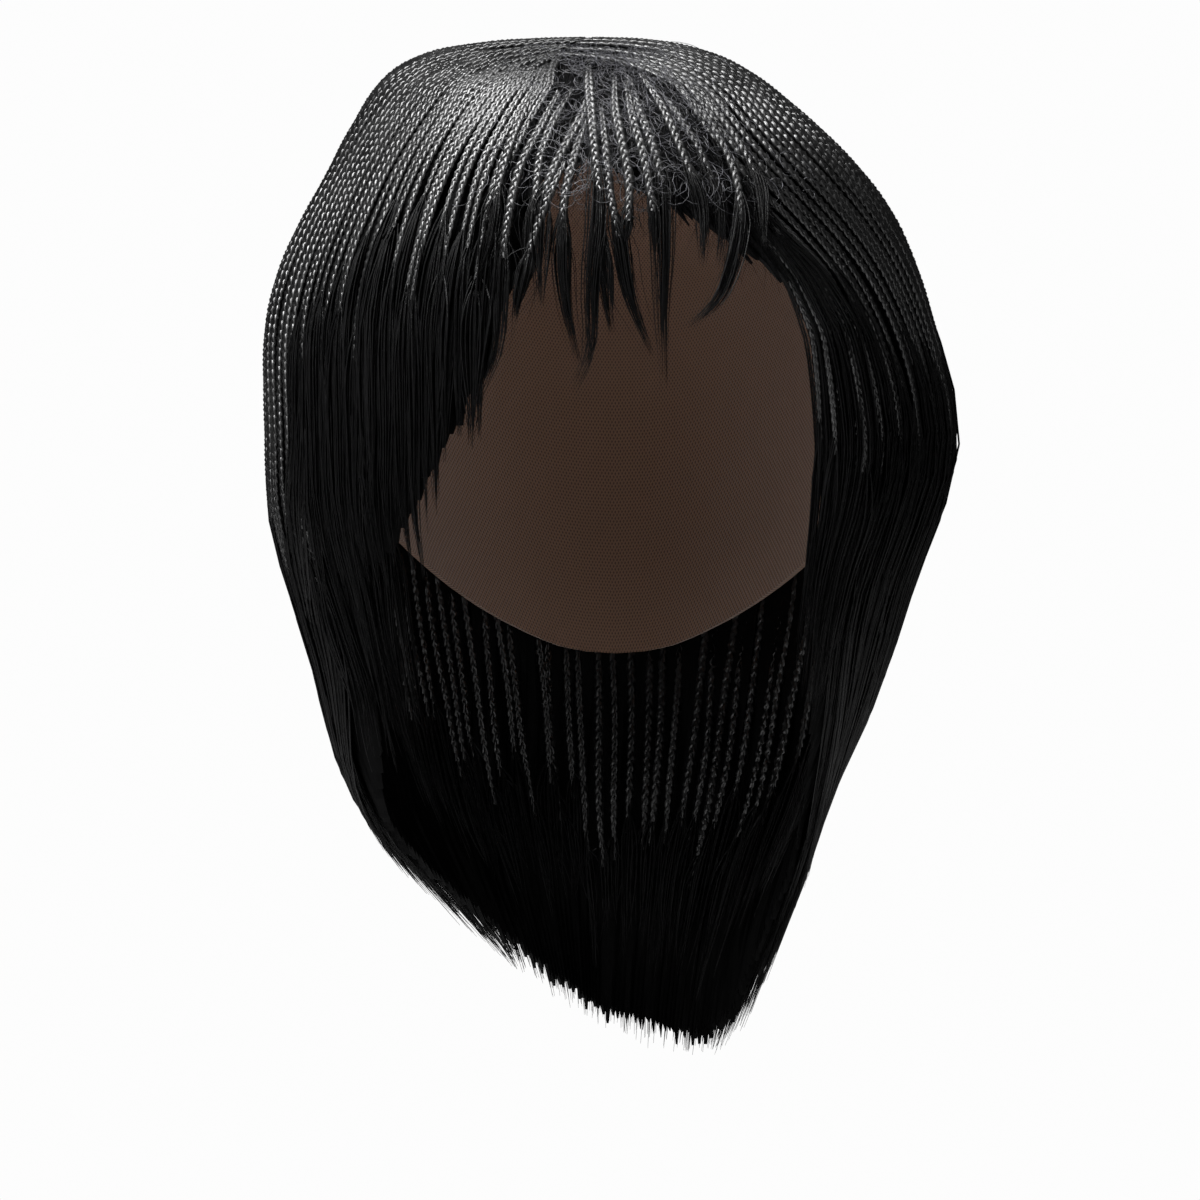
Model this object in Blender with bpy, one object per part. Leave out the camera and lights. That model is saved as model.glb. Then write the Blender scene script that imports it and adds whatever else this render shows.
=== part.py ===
"""Braided wig: a hollow stretch cap with layered hair walls, a root mat and a fringe of locks.

Metres, +Z up, the face looks along -Y. The origin is the inside of the cap's crown,
where it rests on the head. The tables are in millimetres.
"""
import math
import random

import bmesh
import bpy
from mathutils import Vector

MM = 0.001

# Driving dimensions
CENTRE_X = -6.0          # axis that the sections are drawn round
CENTRE_Y = 10.0
CAP_WALL = 1.5
SEAT_GAP = 0.8           # between the cap's smooth surface and the hair's inner side
SIDE_GAP = 1.8           # between neighbouring hair pieces
LOCK_RELIEF = 2.6        # depth of the groove between two locks
LOCK_DROP = 15.0         # how far a lock's tip hangs below its sides
TIP_THICKNESS = 3.0
CAP_COLUMNS = 32
CROWN_ROW = 3.0          # row of the section table where the crown piece ends

# Sections from the crown down. Outer columns: z, left, right, front, back.
# Inner columns: z, half width, front, back.
SECTIONS = [
    (14.0, -6.0, -6.0, 10.0, 10.0, 2.3, 0.0, 0.0, 0.0),
    (13.0, -34.0, 12.0, -14.0, 36.0, 0.6, 22.0, -20.0, 32.0),
    (9.5, -55.0, 28.0, -38.0, 60.0, -3.0, 36.0, -40.0, 50.0),
    (3.5, -67.0, 40.5, -57.0, 78.0, -8.5, 46.0, -56.0, 66.0),
    (-5.0, -74.5, 51.5, -70.0, 90.0, -16.0, 54.0, -67.0, 77.0),
    (-15.0, -80.5, 63.0, -80.0, 99.0, -25.0, 61.0, -75.0, 85.0),
    (-27.0, -86.5, 74.5, -87.0, 105.0, -36.0, 66.5, -81.0, 91.0),
    (-41.0, -94.0, 84.8, -92.0, 110.0, -48.0, 70.5, -86.0, 95.0),
    (-57.0, -101.5, 92.0, -95.0, 114.0, -61.0, 73.0, -89.0, 98.0),
    (-75.0, -105.8, 97.2, -97.0, 117.0, -77.0, 74.8, -91.0, 99.5),
    (-93.0, -105.8, 102.0, -98.0, 119.0, -93.0, 75.5, -92.0, 100.0),
    (-111.0, -105.4, 103.4, -98.0, 119.0, -111.0, 75.5, -92.0, 98.0),
    (-129.0, -105.2, 99.0, -97.0, 117.5, -129.0, 74.5, -91.0, 94.0),
    (-147.0, -100.0, 91.2, -95.0, 115.0, -147.0, 72.0, -89.0, 88.0),
    (-165.0, -94.5, 86.0, -92.0, 111.0, -165.0, 69.0, -87.0, 82.0),
    (-183.0, -89.0, 80.0, -88.0, 106.5, -183.0, 65.0, -84.0, 77.0),
    (-201.0, -85.0, 72.5, -84.0, 102.0, -201.0, 61.0, -80.0, 73.0),
    (-219.0, -78.0, 64.0, -78.0, 97.0, -219.0, 55.0, -75.0, 70.0),
    (-237.0, -67.0, 60.0, -70.0, 93.0, -237.0, 47.0, -68.0, 68.0),
    (-255.0, -55.0, 54.5, -60.0, 89.0, -255.0, 40.0, -58.0, 66.0),
    (-272.0, -45.0, 51.0, -50.0, 85.0, -272.0, 34.0, -46.0, 64.0),
    (-288.0, -38.0, 48.0, -40.0, 81.0, -288.0, 30.0, -36.0, 62.0),
    (-302.0, -34.0, 46.0, -30.0, 78.0, -302.0, 28.0, -26.0, 60.0),
]

# Angles run round the axis in degrees: 0 right, 90 back, 180 left, 270 front.
CAP_EDGE = [(-90, -22), (-62, -28), (-40, -60), (-25, -104), (0, -122), (30, -140), (60, -164),
            (90, -176), (120, -164), (150, -140), (180, -122), (205, -104), (220, -60),
            (242, -28), (270, -22)]
LONG_HEM = [(-40, -172), (-28, -200), (-12, -222), (0, -238), (12, -256), (25, -274), (40, -281),
            (60, -282), (90, -274), (112, -265), (130, -254), (150, -239), (172, -224), (190, -212),
            (210, -192)]
FRONT_LEFT_HEM = [(203, -160), (214, -157), (224, -151), (232, -141), (239, -124), (246, -104),
                  (254, -90)]
MAT_HEM = [(252, -38), (262, -28), (277, -25), (285, -29), (291, -37), (302, -45), (312, -60)]
RIGHT_FRONT_EDGE = [(3.5, -62), (-15, -63), (-27, -60), (-41, -53), (-57, -44), (-75, -38),
                    (-111, -36), (-165, -36), (-201, -32), (-240, -22)]

# Fringe locks: width, then four points x, z down the lock.
FRINGE = [
    (5.0, -14.0, -2.0, -25.0, -34.0, -29.5, -60.0, -34.0, -95.0),
    (4.5, -14.0, -2.0, -23.5, -34.0, -25.5, -54.0, -27.0, -68.0),
    (5.0, -9.0, -2.0, -19.5, -34.0, -22.0, -52.0, -22.5, -72.0),
    (5.0, -9.5, -2.0, -15.0, -40.0, -15.5, -65.0, -10.5, -87.0),
    (5.5, -7.5, -1.0, -5.5, -30.0, -6.3, -62.0, -12.5, -95.0),
    (4.5, -4.0, -2.0, -2.0, -35.0, 4.0, -63.0, 11.5, -84.0),
    (4.5, -1.0, -1.0, 3.0, -24.0, 4.3, -37.0, 3.5, -52.0),
    (4.5, 3.0, -2.0, 9.3, -31.0, 11.0, -45.0, 12.0, -58.0),
    (6.5, 6.0, -1.0, 14.0, -32.0, 14.3, -62.0, 14.3, -95.0),
    (4.5, 11.0, -2.0, 21.5, -27.0, 26.0, -42.0, 25.5, -58.0),
    (4.5, 11.6, -1.5, 31.0, -31.0, 34.5, -50.0, 22.0, -76.0),
]

rng = random.Random(31)


def along(table, key, column):
    """Straight interpolation in a table whose first column rises or falls steadily."""
    rising = table[-1][0] > table[0][0]
    for low, high in zip(table, table[1:]):
        inside = key <= high[0] if rising else key >= high[0]
        if inside:
            t = (key - low[0]) / (high[0] - low[0])
            return low[column] + (high[column] - low[column]) * min(max(t, 0.0), 1.0)
    return table[-1][column]


def section(row):
    """The section table's columns at a row that may lie between two, by a smooth curve."""
    row = min(max(row, 0.0), len(SECTIONS) - 1.0)
    i = min(int(row), len(SECTIONS) - 2)
    t = row - i
    before = SECTIONS[max(i - 1, 0)]
    after = SECTIONS[min(i + 2, len(SECTIONS) - 1)]
    values = []
    for p0, p1, p2, p3 in zip(before, SECTIONS[i], SECTIONS[i + 1], after):
        if i == 0:
            p0 = 2 * p1 - p2
        bend = 2 * p0 - 5 * p1 + 4 * p2 - p3
        twist = 3 * p1 - p0 - 3 * p2 + p3
        values.append(0.5 * (2 * p1 + (p2 - p0) * t + bend * t * t + twist * t ** 3))
    return values


def row_of(z):
    """The row whose outer height is z."""
    low, high = 0.0, len(SECTIONS) - 1.0
    for _ in range(30):
        middle = (low + high) / 2
        if section(middle)[0] > z:
            low = middle
        else:
            high = middle
    return low


def outer(angle, row, grow=0.0):
    """A point of the hair's outer surface, in millimetres."""
    z, left, right, front, back = section(row)[:5]
    c, s = math.cos(math.radians(angle)), math.sin(math.radians(angle))
    reach_x = (right - CENTRE_X if c > 0 else CENTRE_X - left) + grow
    reach_y = (back - CENTRE_Y if s > 0 else CENTRE_Y - front) + grow
    lift = grow * min(1.0, max(0.0, (6.0 - row) / 4.0))
    return Vector((CENTRE_X + reach_x * c, CENTRE_Y + reach_y * s, z + lift))


def inner(angle, row, grow=0.0):
    """A point of the hair's inner side, which lies on the cap, in millimetres."""
    z, half, front, back = section(row)[5:9]
    c, s = math.cos(math.radians(angle)), math.sin(math.radians(angle))
    reach_y = (back if s > 0 else -front) + grow
    blend = max(0.0, 1.0 - row / 9.0)
    return Vector(((half + grow) * c, reach_y * s, z + grow * blend))


def grid(columns, rows):
    """A flat grid whose points know their place across and down."""
    bm = bmesh.new()
    across = bm.verts.layers.float.new("across")
    down = bm.verts.layers.float.new("down")
    side = bm.verts.layers.float.new("side")
    bmesh.ops.create_grid(bm, x_segments=columns, y_segments=rows, size=0.5)
    for vert in bm.verts:
        vert[across] = vert.co.x + 0.5
        vert[down] = 0.5 - vert.co.y
        vert[side] = 0.0
    return bm, across, down, side


def thicken(bm, side):
    """Extrudes the sheet and marks the copy as its inner side."""
    made = bmesh.ops.extrude_face_region(bm, geom=bm.faces[:], use_keep_orig=True)
    for item in made["geom"]:
        if isinstance(item, bmesh.types.BMVert):
            item[side] = 1.0


def finish(bm, name, material):
    # The short diagonal is the same on both sides of a seam, so the gap there stays even.
    bmesh.ops.triangulate(bm, faces=bm.faces[:], quad_method="SHORT_EDGE")
    bmesh.ops.recalc_face_normals(bm, faces=bm.faces[:])
    mesh = bpy.data.meshes.new(name)
    bm.to_mesh(mesh)
    bm.free()
    mesh.shade_smooth()
    mesh.set_sharp_from_angle(angle=math.radians(50))
    mesh.materials.append(material)
    obj = bpy.data.objects.new(name, mesh)
    parts.objects.link(obj)
    obj.parent = root
    return obj


def ring_sheet(name, material, columns, rows, place):
    """A dome that closes at its pole and runs all the way round, with place(angle, down, side)."""
    bm, across, down, side = grid(columns, rows)
    for vert in bm.verts:
        vert.co = place(vert[across] * 360.0 - 90.0, vert[down], 0.0) * MM
    bmesh.ops.remove_doubles(bm, verts=bm.verts[:], dist=0.00005)
    thicken(bm, side)
    for vert in bm.verts:
        vert.co = place(vert[across] * 360.0 - 90.0, vert[down], vert[side]) * MM
    return finish(bm, name, material)


def cap_point(angle, down, side):
    # The edge's height is eased over its neighbours, so the edge is one smooth curve.
    turns = (-16, -8, 0, 8, 16)
    heights = [along(CAP_EDGE, (angle + turn + 90) % 360 - 90, 1) for turn in turns]
    edge = row_of_inner(sum(heights) / len(turns))
    return inner(angle, edge * down, -SEAT_GAP - CAP_WALL * side)


def row_of_inner(z):
    low, high = 0.0, len(SECTIONS) - 1.0
    for _ in range(30):
        middle = (low + high) / 2
        if section(middle)[5] > z:
            low = middle
        else:
            high = middle
    return low


def crown_point(angle, down, side):
    row = CROWN_ROW * down
    if side:
        return inner(angle, row)
    point = outer(angle, row)
    forward = max(0.0, min(1.0, (16.0 - point.y) / 16.0))
    valley = math.exp(-((point.x + 9.0) / 5.0) ** 2)
    point.z -= 2.5 * valley * forward
    return point


def hair_wall(name, material, start, end, locks, hem, rows, first_row, share=(0.0, 1.0)):
    """A curved wall of locks that hang from first_row to the hem.

    start and end give the wall's edges as angles for a row, hem its lower edge as a height for
    an angle, and share the part of the depth between outer side (0) and cap (1) that it fills.
    """
    tips = [rng.uniform(0.55, 1.25) for _ in range(locks)]
    swell = [rng.uniform(0.5, 1.0) for _ in range(locks)]
    columns = 2 * locks
    middle = first_row + 0.55 * (row_of(-200) - first_row)

    def place(across, down, side):
        column = round(across * columns)
        lock = min(column // 2, locks - 1)
        crest = column % 2 == 1
        rough = start(middle) + (end(middle) - start(middle)) * across
        drop = tips[lock] * LOCK_DROP if crest else 0.0
        last_row = row_of(hem(rough) - drop)
        row = first_row + (last_row - first_row) * down
        low, high = start(row), end(row)
        radius = max((outer(low, row) - outer(low, 0)).length, 20.0)
        inset = math.degrees(0.5 * SIDE_GAP / radius)
        angle = low + inset + (high - low - 2 * inset) * across
        relief = LOCK_RELIEF * min(1.0, 0.25 + down * 2.2) * min(1.0, 2.2 - share[1] - share[0])
        grow = relief * (0.35 * swell[lock] if crest else -0.65)
        near = outer(angle, row, grow if share[0] == 0 else grow * 0.4)
        far = inner(angle, row)
        taper = 1.0 if down < 0.62 or share[1] < 0.5 else 1.0 - 0.8 * ((down - 0.62) / 0.38) ** 1.6
        if not side:
            return near.lerp(far, share[0])
        deep = near.lerp(far, share[0] + (share[1] - share[0]) * taper)
        if down > 0.9 and (deep - near).length < TIP_THICKNESS and share[1] == 1.0:
            deep = near + (far - near).normalized() * TIP_THICKNESS
        return deep

    bm, across, down, side = grid(columns, rows)
    thicken(bm, side)
    for vert in bm.verts:
        vert.co = place(vert[across], vert[down], vert[side] > 0.5) * MM
    return finish(bm, name, material)


def front_point(x, z, depth):
    """The point of the outer surface in front, at a width and a height, moved inward by depth."""
    row = row_of(z)
    right, left = section(row)[2], section(row)[1]
    reach = right - CENTRE_X if x > CENTRE_X else CENTRE_X - left
    angle = -math.degrees(math.acos(min(max((x - CENTRE_X) / reach, -1.0), 1.0)))
    return outer(angle, row, -depth)


def smooth_point(points, t):
    """A point on the smooth curve through the control points, t from 0 to 1."""
    span = t * (len(points) - 1)
    i = min(int(span), len(points) - 2)
    f = span - i
    p1, p2 = points[i], points[i + 1]
    p0 = points[i - 1] if i else p1 * 2 - p2
    p3 = points[i + 2] if i + 2 < len(points) else p2 * 2 - p1
    bend = p0 * 2 - p1 * 5 + p2 * 4 - p3
    twist = p1 * 3 - p0 - p2 * 3 + p3
    return (p1 * 2 + (p2 - p0) * f + bend * f * f + twist * f ** 3) * 0.5


def fringe_lock(number, width, points):
    """One tapered lock, a curve of flattened round section swept down the forehead."""
    curve = bpy.data.curves.new(f"lock_{number}", "CURVE")
    curve.dimensions = "3D"
    curve.bevel_depth = 1.0 * MM
    curve.bevel_resolution = 1
    curve.use_fill_caps = True
    steps = 11
    spline = curve.splines.new("POLY")
    spline.points.add(steps - 1)
    for i in range(steps):
        t = i / (steps - 1)
        at = smooth_point(points, t)
        depth = 0.2 + 0.4 * (number % 3) + 1.4 * max(0.0, 1.0 - 6.0 * t)
        place = front_point(at.x, at.y, depth) * MM
        spline.points[i].co = (place.x, place.y, place.z, 1.0)
        taper = 1.0 if t < 0.55 else 1.0 - 0.75 * (t - 0.55) / 0.45
        spline.points[i].radius = width * 0.5 * taper
    helper = bpy.data.objects.new(f"lock_curve_{number}", curve)
    cutters.objects.link(helper)
    bpy.context.view_layer.update()
    graph = bpy.context.evaluated_depsgraph_get()
    mesh = bpy.data.meshes.new_from_object(helper.evaluated_get(graph))
    bpy.data.objects.remove(helper)
    bm = bmesh.new()
    bm.from_mesh(mesh)
    bmesh.ops.remove_doubles(bm, verts=bm.verts[:], dist=0.00002)
    bmesh.ops.recalc_face_normals(bm, faces=bm.faces[:])
    bm.to_mesh(mesh)
    bm.free()
    lock = bpy.data.objects.new(f"lock_{number}", mesh)
    lock.hide_render = True
    lock.display_type = "WIRE"
    cutters.objects.link(lock)
    return lock


def principled(name, colour, roughness, metallic):
    material = bpy.data.materials.new(name)
    material.use_nodes = True
    shader = material.node_tree.nodes["Principled BSDF"]
    shader.inputs["Base Color"].default_value = (*colour, 1.0)
    shader.inputs["Roughness"].default_value = roughness
    shader.inputs["Metallic"].default_value = metallic
    return material


for old in list(bpy.data.objects):
    bpy.data.objects.remove(old)

parts = bpy.data.collections.new("braid_wig")
cutters = bpy.data.collections.new("braid_wig_cutters")
bpy.context.scene.collection.children.link(parts)
bpy.context.scene.collection.children.link(cutters)
root = bpy.data.objects.new("wig_root", None)
parts.objects.link(root)

net = principled("cap_net", (0.055, 0.028, 0.016), 0.75, 0.0)
ring_sheet("cap", net, CAP_COLUMNS, 11, cap_point)

braid = principled("braid_crown", (0.006, 0.006, 0.007), 0.38, 0.0)
ring_sheet("hair_crown", braid, 28, 4, crown_point)


def long_hem(angle):
    return along(LONG_HEM, angle, 1)


def right_edge(row):
    return along(RIGHT_FRONT_EDGE, section(row)[0], 1)


START = CROWN_ROW + 0.06

hair_wall("hair_left", principled("braid_left", (0.006, 0.006, 0.007), 0.38, 0.0),
          lambda row: 128.0, lambda row: 204.0, 9, long_hem, 15, START)
hair_wall("hair_back", principled("braid_back", (0.006, 0.006, 0.007), 0.38, 0.0),
          lambda row: 52.0, lambda row: 128.0, 9, long_hem, 15, START)
hair_wall("hair_right", principled("braid_right", (0.006, 0.006, 0.007), 0.38, 0.0),
          right_edge, lambda row: 52.0, 10, long_hem, 15, START)
hair_wall("hair_front_left", principled("braid_front_left", (0.006, 0.006, 0.007), 0.38, 0.0),
          lambda row: 204.0, lambda row: 250.0, 8,
          lambda angle: along(FRONT_LEFT_HEM, angle, 1), 10, START)
hair_wall("hair_front_mat", principled("root_mat", (0.008, 0.008, 0.009), 0.6, 0.0),
          lambda row: 250.0, lambda row: right_edge(row) + 360.0, 7,
          lambda angle: along(MAT_HEM, angle, 1), 5, START, (0.64, 1.0))
band = hair_wall("fringe", principled("fringe_lock", (0.006, 0.006, 0.007), 0.38, 0.0),
                 lambda row: 250.0, lambda row: right_edge(row) + 360.0, 7,
                 lambda angle: -8.0, 3, START, (0.0, 0.42))
for count, (width, *flat) in enumerate(FRINGE):
    marks = [Vector((flat[i], flat[i + 1])) for i in range(0, 8, 2)]
    union = band.modifiers.new(f"lock {count}", "BOOLEAN")
    union.operation = "UNION"
    union.solver = "EXACT"
    union.object = fringe_lock(count, width, marks)
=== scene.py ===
"""Braided wig: plaits, loosened tips, root fuzz, hair layers, net cap, studio and camera."""
import math
import random

import bmesh
import bpy
import numpy as np
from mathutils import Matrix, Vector, noise


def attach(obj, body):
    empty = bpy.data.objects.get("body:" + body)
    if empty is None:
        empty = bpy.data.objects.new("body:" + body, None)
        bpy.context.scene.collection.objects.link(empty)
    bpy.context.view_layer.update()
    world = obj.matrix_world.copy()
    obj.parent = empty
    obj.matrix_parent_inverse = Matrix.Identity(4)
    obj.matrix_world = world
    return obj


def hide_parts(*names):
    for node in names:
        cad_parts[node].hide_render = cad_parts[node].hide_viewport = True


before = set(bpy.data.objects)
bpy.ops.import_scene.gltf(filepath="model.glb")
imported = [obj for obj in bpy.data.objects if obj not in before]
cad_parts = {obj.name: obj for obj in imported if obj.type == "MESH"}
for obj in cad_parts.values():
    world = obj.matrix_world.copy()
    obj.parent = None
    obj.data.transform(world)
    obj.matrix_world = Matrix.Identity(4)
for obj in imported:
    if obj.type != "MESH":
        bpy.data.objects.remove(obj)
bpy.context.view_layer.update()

bl_info = {
    "name": "Braided Wig",
    "version": (1, 0, 0),
    "blender": (4, 5, 0),
    "location": "3D View > Sidebar > Braided Wig",
    "description": "Makes a layered wig of thin three-strand plaits on a net cap",
    "category": "Object",
}

MM = 0.001
BODY = "root"
CENTRE = Vector((-6.0, 10.0, 0.0))
WHORL = Vector((-2.0, 27.0))
PART_FRONT = Vector((-16.0, -44.0))
CAP_GAP = 0.8
CAP_WALL = 1.5
EAR_ROW = 12.0
LOWEST_HEM = -301.0
UNDER_TOP = 2.9

# Sections from the crown down, in millimetres. Outer columns: z, left, right, front, back.
# Inner columns: z, half width, front, back.
SECTIONS = [
    (14.0, -6.0, -6.0, 10.0, 10.0, 2.3, 0.0, 0.0, 0.0),
    (13.0, -34.0, 12.0, -14.0, 36.0, 0.6, 22.0, -20.0, 32.0),
    (9.5, -55.0, 28.0, -38.0, 60.0, -3.0, 36.0, -40.0, 50.0),
    (3.5, -67.0, 40.5, -57.0, 78.0, -8.5, 46.0, -56.0, 66.0),
    (-5.0, -74.5, 51.5, -70.0, 90.0, -16.0, 54.0, -67.0, 77.0),
    (-15.0, -80.5, 63.0, -80.0, 99.0, -25.0, 61.0, -75.0, 85.0),
    (-27.0, -86.5, 74.5, -87.0, 105.0, -36.0, 66.5, -81.0, 91.0),
    (-41.0, -94.0, 84.8, -92.0, 110.0, -48.0, 70.5, -86.0, 95.0),
    (-57.0, -101.5, 92.0, -95.0, 114.0, -61.0, 73.0, -89.0, 98.0),
    (-75.0, -105.8, 97.2, -97.0, 117.0, -77.0, 74.8, -91.0, 99.5),
    (-93.0, -105.8, 102.0, -98.0, 119.0, -93.0, 75.5, -92.0, 100.0),
    (-111.0, -105.4, 103.4, -98.0, 119.0, -111.0, 75.5, -92.0, 98.0),
    (-129.0, -105.2, 99.0, -97.0, 117.5, -129.0, 74.5, -91.0, 94.0),
    (-147.0, -100.0, 91.2, -95.0, 115.0, -147.0, 72.0, -89.0, 88.0),
    (-165.0, -94.5, 86.0, -92.0, 111.0, -165.0, 69.0, -87.0, 82.0),
    (-183.0, -89.0, 80.0, -88.0, 106.5, -183.0, 65.0, -84.0, 77.0),
    (-201.0, -85.0, 72.5, -84.0, 102.0, -201.0, 61.0, -80.0, 73.0),
    (-219.0, -78.0, 64.0, -78.0, 97.0, -219.0, 55.0, -75.0, 70.0),
    (-237.0, -67.0, 60.0, -70.0, 93.0, -237.0, 47.0, -68.0, 68.0),
    (-255.0, -55.0, 54.5, -60.0, 89.0, -255.0, 40.0, -58.0, 66.0),
    (-272.0, -45.0, 51.0, -50.0, 85.0, -272.0, 34.0, -46.0, 64.0),
    (-288.0, -38.0, 48.0, -40.0, 81.0, -288.0, 30.0, -36.0, 62.0),
    (-302.0, -34.0, 46.0, -30.0, 78.0, -302.0, 28.0, -26.0, 60.0),
]
# Angle, height pairs round the axis: 0 right, 90 back, 180 left, 270 front.
CAP_EDGE = [(-90, -22), (-62, -28), (-40, -60), (-25, -104), (0, -122), (30, -140), (60, -164),
            (90, -176), (120, -164), (150, -140), (180, -122), (205, -104), (220, -60),
            (242, -28), (270, -22)]
LONG_HEM = [(-40, -172), (-28, -200), (-12, -222), (0, -238), (12, -256), (25, -274), (40, -281),
            (60, -282), (90, -274), (112, -265), (130, -254), (150, -239), (172, -224), (190, -212),
            (210, -192)]
FRONT_LEFT_HEM = [(203, -160), (214, -157), (224, -151), (232, -141), (239, -124), (246, -104),
                  (254, -90)]
MAT_HEM = [(252, -38), (262, -28), (277, -25), (285, -29), (291, -37), (302, -45), (312, -60)]
RIGHT_FRONT_EDGE = [(3.5, -62), (-15, -63), (-27, -60), (-41, -53), (-57, -44), (-75, -38),
                    (-111, -36), (-165, -36), (-201, -32), (-240, -22)]

# Plaits over the forehead. Columns: width, share that is plaited, then x, z down the plait.
FRINGE = [
    (1.05, 0.62, (-24, -3, -29, -14, -34.3, -31, -37.1, -48.6, -41.3, -62)),
    (1.05, 0.58, (-17, -4, -22.3, -15, -29, -29, -32.8, -48, -34.2, -62.5, -35.3, -81.6, -40.7, -97)),
    (1.0, 0.66, (-13, -3, -18, -12, -22.3, -23.5, -24, -37.6, -25, -54.7, -26.2, -63)),
    (0.95, 0.58, (-15, -26, -20.2, -37.3, -25.6, -52.7, -28.7, -65.3, -29.9, -74)),
    (1.05, 0.62, (-8, -5, -10.5, -12.6, -18.5, -28.2, -21.4, -38.7, -22.2, -54.7, -22.2, -70)),
    (1.0, 0.55, (-9, -13, -12, -23.5, -15.1, -36.4, -15.9, -51.5, -14.8, -68, -10.2, -88)),
    (1.1, 0.46, (-8, 3.5, -7.7, -3, -6.2, -20.8, -4.5, -40.5, -6.5, -62.5, -7.1, -81.6, -13, -96)),
    (0.9, 0.55, (-5.6, -26, -4.5, -40.5, -3.6, -57, -1.1, -78)),
    (1.0, 0.60, (-4, -9, -2.8, -21, -1.6, -34.6, 1.2, -48.6, 4.1, -65.3, 11.5, -85)),
    (1.05, 0.80, (0, 0, 0.1, -9, 1.3, -16.6, 4.1, -30.8, 3.8, -43.7, 2.9, -50)),
    (1.05, 0.82, (3.5, -1, 5.3, -12, 8.4, -23.5, 10.9, -37.6, 12.1, -55)),
    (1.15, 0.50, (4.5, 1, 7, -9, 11, -19.6, 14.1, -32, 14.9, -51.5, 14.3, -70.8, 14.9, -96)),
    (1.0, 0.62, (8, 1, 14.5, -9.8, 21, -25.2, 25.8, -39.3, 25.7, -58)),
    (0.95, 0.55, (19, -2, 28.9, -13.8, 36.5, -30.8, 36.9, -47.7, 31.4, -65.9, 20.6, -76)),
    (0.9, 0.62, (12, -2, 19, -11, 27, -25, 32, -40, 31, -58)),
    (0.9, 0.60, (26, -5, 36, -18, 43, -33, 44, -52)),
]

rng = random.Random(1187)


def along(table, key, column=1):
    """Straight interpolation in a table whose first column rises or falls steadily."""
    rising = table[-1][0] > table[0][0]
    for low, high in zip(table, table[1:]):
        if (key <= high[0]) if rising else (key >= high[0]):
            t = min(max((key - low[0]) / (high[0] - low[0]), 0.0), 1.0)
            return low[column] + (high[column] - low[column]) * t
    return table[-1][column]


def cap_edge(angle):
    """The height of the cap's edge, eased over its neighbours."""
    turns = (-16, -8, 0, 8, 16)
    return sum(along(CAP_EDGE, (angle + turn + 90) % 360 - 90) for turn in turns) / len(turns)


def section(row):
    """The section table's columns at any row, by a smooth curve."""
    row = min(max(row, 0.0), len(SECTIONS) - 1.0)
    i = min(int(row), len(SECTIONS) - 2)
    t = row - i
    before = SECTIONS[max(i - 1, 0)]
    after = SECTIONS[min(i + 2, len(SECTIONS) - 1)]
    values = []
    for p0, p1, p2, p3 in zip(before, SECTIONS[i], SECTIONS[i + 1], after):
        if i == 0:
            p0 = 2 * p1 - p2
        bend = 2 * p0 - 5 * p1 + 4 * p2 - p3
        twist = 3 * p1 - p0 - 3 * p2 + p3
        values.append(0.5 * (2 * p1 + (p2 - p0) * t + bend * t * t + twist * t ** 3))
    return values


def row_of(z, column=0):
    """The row whose outer (0) or inner (5) height is z."""
    low, high = 0.0, len(SECTIONS) - 1.0
    for _ in range(24):
        middle = (low + high) / 2
        if section(middle)[column] > z:
            low = middle
        else:
            high = middle
    return low


def outer(angle, row, grow=0.0):
    """A point of the hair's outer surface, in millimetres."""
    z, left, right, front, back = section(row)[:5]
    c, s = math.cos(math.radians(angle)), math.sin(math.radians(angle))
    reach_x = (right - CENTRE.x if c > 0 else CENTRE.x - left) + grow
    reach_y = (back - CENTRE.y if s > 0 else CENTRE.y - front) + grow
    lift = grow * min(1.0, max(0.0, (6.0 - row) / 4.0))
    return Vector((CENTRE.x + reach_x * c, CENTRE.y + reach_y * s, z + lift))


def inner(angle, row, grow=0.0):
    """A point of the hair's inner side, which lies on the cap, in millimetres."""
    z, half, front, back = section(row)[5:9]
    c, s = math.cos(math.radians(angle)), math.sin(math.radians(angle))
    reach_y = (back if s > 0 else -front) + grow
    return Vector(((half + grow) * c, reach_y * s, z + grow * max(0.0, 1.0 - row / 9.0)))


def front_angle(x, row):
    """The angle in front at which the outer surface has this width."""
    left, right = section(row)[1:3]
    reach = right - CENTRE.x if x > CENTRE.x else CENTRE.x - left
    return -math.degrees(math.acos(min(max((x - CENTRE.x) / max(reach, 1.0), -1.0), 1.0)))


def front_point(x, z, depth):
    row = row_of(z)
    return outer(front_angle(x, row), row, -depth)


def right_edge(row):
    return along(RIGHT_FRONT_EDGE, section(row)[0])


def straight(angle):
    """An edge that stays at one angle on every row."""
    return lambda row: angle


def hem_of(table):
    return lambda angle: along(table, angle)


long_hem = hem_of(LONG_HEM)


def smooth_point(points, t):
    """A point on the smooth curve through the control points, t from 0 to 1."""
    span = t * (len(points) - 1)
    i = min(int(span), len(points) - 2)
    f = span - i
    p1, p2 = points[i], points[i + 1]
    p0 = points[i - 1] if i else p1 * 2 - p2
    p3 = points[i + 2] if i + 2 < len(points) else p2 * 2 - p1
    bend = p0 * 2 - p1 * 5 + p2 * 4 - p3
    twist = p1 * 3 - p0 - p2 * 3 + p3
    return (p1 * 2 + (p2 - p0) * f + bend * f * f + twist * f ** 3) * 0.5


def step(low, high, value):
    t = min(max((value - low) / (high - low), 0.0), 1.0)
    return t * t * (3 - 2 * t)


# Sizes and colours that a user would change

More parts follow.
